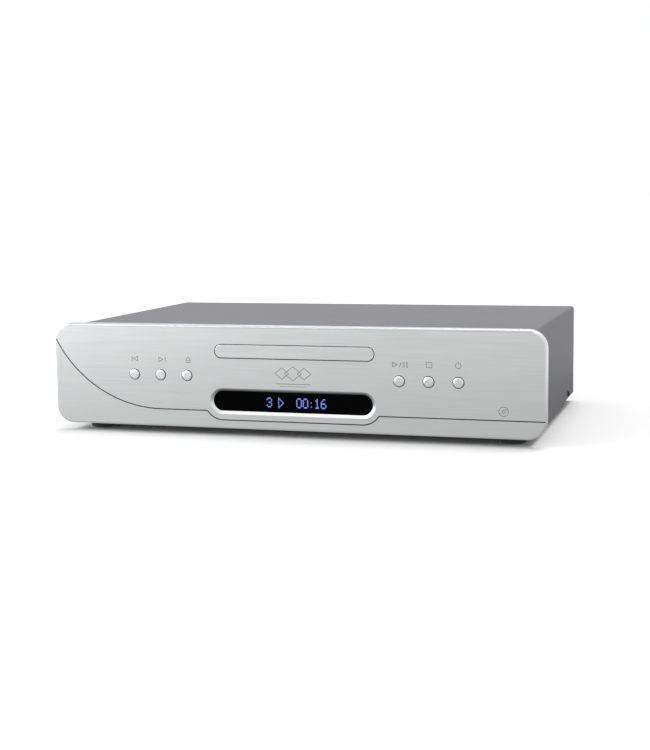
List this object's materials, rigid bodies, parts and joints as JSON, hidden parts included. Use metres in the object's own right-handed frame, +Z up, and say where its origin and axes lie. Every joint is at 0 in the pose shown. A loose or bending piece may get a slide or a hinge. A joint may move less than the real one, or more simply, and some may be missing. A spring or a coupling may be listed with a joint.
{
  "type": "cd player",
  "caption": "Full-width hi-fi CD player with a motorised disc tray, a lit display window, round front buttons and a folded cover.",
  "frame": {"origin": "on the supporting surface, under the middle of the whole object", "axes": "+X to the right seen from the front, +Y from front to back, +Z up"},
  "size_m": [0.44, 0.2806, 0.097],
  "materials": {
    "panel_aluminium": "horizontally brushed, clear anodised",
    "button_aluminium": "turned, clear anodised",
    "cover_paint": "fine satin grey paint",
    "zinc_steel": "zinc plated sheet, dull",
    "rear_paint": "fine texture black",
    "window_acrylic": "polished black acrylic",
    "display_glass": "glossy",
    "circuit_board": "solder mask",
    "chip_black": "moulded",
    "loader_plastic": "moulded, fine grain",
    "tray_plastic": "moulded, fine grain",
    "gear_plastic": "natural acetal",
    "motor_steel": "plated can",
    "rod_steel": "ground",
    "black_rubber": "matt",
    "screw_black": "black oxide",
    "screw_zinc": "zinc plated",
    "inlet_plastic": "moulded",
    "contact_brass": "nickel plated",
    "socket_gold": "gold plated",
    "socket_plastic": "moulded",
    "heat_sink_aluminium": "black anodised",
    "capacitor_sleeve": "printed sleeve, plain",
    "transformer_tape": "wound polyester tape",
    "lens_plastic": "clear",
    "ribbon_grey": "flat cable"
  },
  "bodies": {
    "case": {"base_pan": "zinc_steel", "board_parts": "chip_black", "case_screws": "screw_black", "clamp_bridge": "zinc_steel", "control_board": "circuit_board", "display_module": "display_glass", "display_window": "window_acrylic", "drive_belt": "black_rubber", "filter_capacitors": "capacitor_sleeve", "foot_front_left": "black_rubber", "foot_front_right": "black_rubber", "foot_rear_left": "black_rubber", "foot_rear_right": "black_rubber", "foot_screws": "screw_black", "front_panel": "panel_aluminium", "front_subframe": "zinc_steel", "heat_sinks": "heat_sink_aluminium", "iec_inlet": "inlet_plastic", "iec_pins": "contact_brass", "loader_chassis": "loader_plastic", "loading_motor": "motor_steel", "main_board": "circuit_board", "optical_socket": "inlet_plastic", "panel_screws": "screw_zinc", "phono_bodies": "socket_plastic", "phono_shells": "socket_gold", "power_board": "circuit_board", "rear_panel": "rear_paint", "ribbon_cables": "ribbon_grey", "standoffs": "screw_zinc", "tact_switches": "chip_black", "top_cover": "cover_paint", "toroidal_transformer": "transformer_tape", "transformer_fixing": "zinc_steel", "transformer_pads": "black_rubber"},
    "tray": {"disc_tray": "tray_plastic", "tray_front": "panel_aluminium"},
    "tray_gear": {"tray_drive_gear": "gear_plastic"},
    "belt_pulley": {"pulley_gear": "gear_plastic"},
    "motor_pulley": {"motor_pulley": "contact_brass"},
    "cam": {"cam_slide": "gear_plastic"},
    "lift": {"lift_frame": "loader_plastic", "damper_grommets": "black_rubber", "damper_screws": "screw_zinc", "traverse_plate": "zinc_steel", "guide_rods": "rod_steel", "spindle_motor": "motor_steel", "sled_motor": "motor_steel"},
    "turntable": {"turntable": "tray_plastic"},
    "sled": {"pickup_sled": "loader_plastic"},
    "lens": {"objective_lens": "lens_plastic"},
    "sled_gear": {"sled_gear": "gear_plastic"},
    "sled_pinion": {"sled_pinion": "gear_plastic"},
    "clamp_puck": {"clamp_puck": "loader_plastic"},
    "button_previous": {"button_previous": "button_aluminium"},
    "button_next": {"button_next": "button_aluminium"},
    "button_eject": {"button_eject": "button_aluminium"},
    "button_play": {"button_play": "button_aluminium"},
    "button_stop": {"button_stop": "button_aluminium"},
    "button_standby": {"button_standby": "button_aluminium"}
  },
  "joints": [
    {"name": "tray_slide", "type": "slide", "parent": "case", "child": "tray", "axis": [0, -1, 0], "range_m": [0, 0.135]},
    {"name": "tray_gear_turn", "type": "hinge", "parent": "case", "child": "tray_gear", "pos_m": [-0.0347, -0.1115, 0.068], "axis": [0, 0, 1], "range_deg": [0, 644.7]},
    {"name": "belt_pulley_turn", "type": "hinge", "parent": "case", "child": "belt_pulley", "pos_m": [-0.01645, -0.1115, 0.066], "axis": [0, 0, 1], "range_deg": [-2149, 0]},
    {"name": "motor_pulley_turn", "type": "hinge", "parent": "case", "child": "motor_pulley", "pos_m": [0.02015, -0.1115, 0.066], "axis": [0, 0, 1], "range_deg": [-6877, 0]},
    {"name": "lift_hinge", "type": "hinge", "parent": "case", "child": "lift", "pos_m": [0.0052, 0.04, 0.057], "axis": [-1, 0, 0], "range_deg": [0, 3.8]},
    {"name": "cam_shift", "type": "slide", "parent": "case", "child": "cam", "axis": [-1, 0, 0], "range_m": [0, 0.01791]},
    {"name": "turntable_spin", "type": "hinge", "parent": "lift", "child": "turntable", "pos_m": [0.0052, -0.06813, 0.06285], "axis": [0, -0.0663, 0.9978], "continuous": true},
    {"name": "sled_travel", "type": "slide", "parent": "lift", "child": "sled", "axis": [0, 0.9978, 0.0663], "range_m": [0, 0.0335]},
    {"name": "lens_focus", "type": "slide", "parent": "sled", "child": "lens", "axis": [0, -0.0663, 0.9978], "range_m": [-0.0004, 0.0004], "stiffness_N_per_m": 30},
    {"name": "sled_gear_turn", "type": "hinge", "parent": "lift", "child": "sled_gear", "pos_m": [0.0401, -0.0204, 0.06101], "axis": [0, -0.0663, 0.9978], "range_deg": [-384, 0]},
    {"name": "sled_pinion_turn", "type": "hinge", "parent": "lift", "child": "sled_pinion", "pos_m": [0.0401, -0.03048, 0.06034], "axis": [0, -0.0663, 0.9978], "range_deg": [0, 1152]},
    {"name": "clamp_puck_spin", "type": "hinge", "parent": "case", "child": "clamp_puck", "pos_m": [0.0052, -0.0675, 0.083], "axis": [0, 0, 1], "continuous": true},
    {"name": "button_previous_press", "type": "slide", "parent": "case", "child": "button_previous", "axis": [0, 1, 0], "range_m": [0, 0.0006], "stiffness_N_per_m": 1500},
    {"name": "button_next_press", "type": "slide", "parent": "case", "child": "button_next", "axis": [0, 1, 0], "range_m": [0, 0.0006], "stiffness_N_per_m": 1500},
    {"name": "button_eject_press", "type": "slide", "parent": "case", "child": "button_eject", "axis": [0, 1, 0], "range_m": [0, 0.0006], "stiffness_N_per_m": 1500},
    {"name": "button_play_press", "type": "slide", "parent": "case", "child": "button_play", "axis": [0, 1, 0], "range_m": [0, 0.0006], "stiffness_N_per_m": 1500},
    {"name": "button_stop_press", "type": "slide", "parent": "case", "child": "button_stop", "axis": [0, 1, 0], "range_m": [0, 0.0006], "stiffness_N_per_m": 1500},
    {"name": "button_standby_press", "type": "slide", "parent": "case", "child": "button_standby", "axis": [0, 1, 0], "range_m": [0, 0.0006], "stiffness_N_per_m": 1500}
  ],
  "couplings": [
    {"joint": "tray_gear_turn", "follows": "tray_slide", "rad_per_m": 83.333},
    {"joint": "belt_pulley_turn", "follows": "tray_slide", "rad_per_m": -277.78},
    {"joint": "motor_pulley_turn", "follows": "tray_slide", "rad_per_m": -888.89},
    {"joint": "cam_shift", "follows": "lift_hinge", "m_per_rad": 0.26974},
    {"joint": "sled_gear_turn", "follows": "sled_travel", "rad_per_m": -200},
    {"joint": "sled_pinion_turn", "follows": "sled_travel", "rad_per_m": 600}
  ]
}
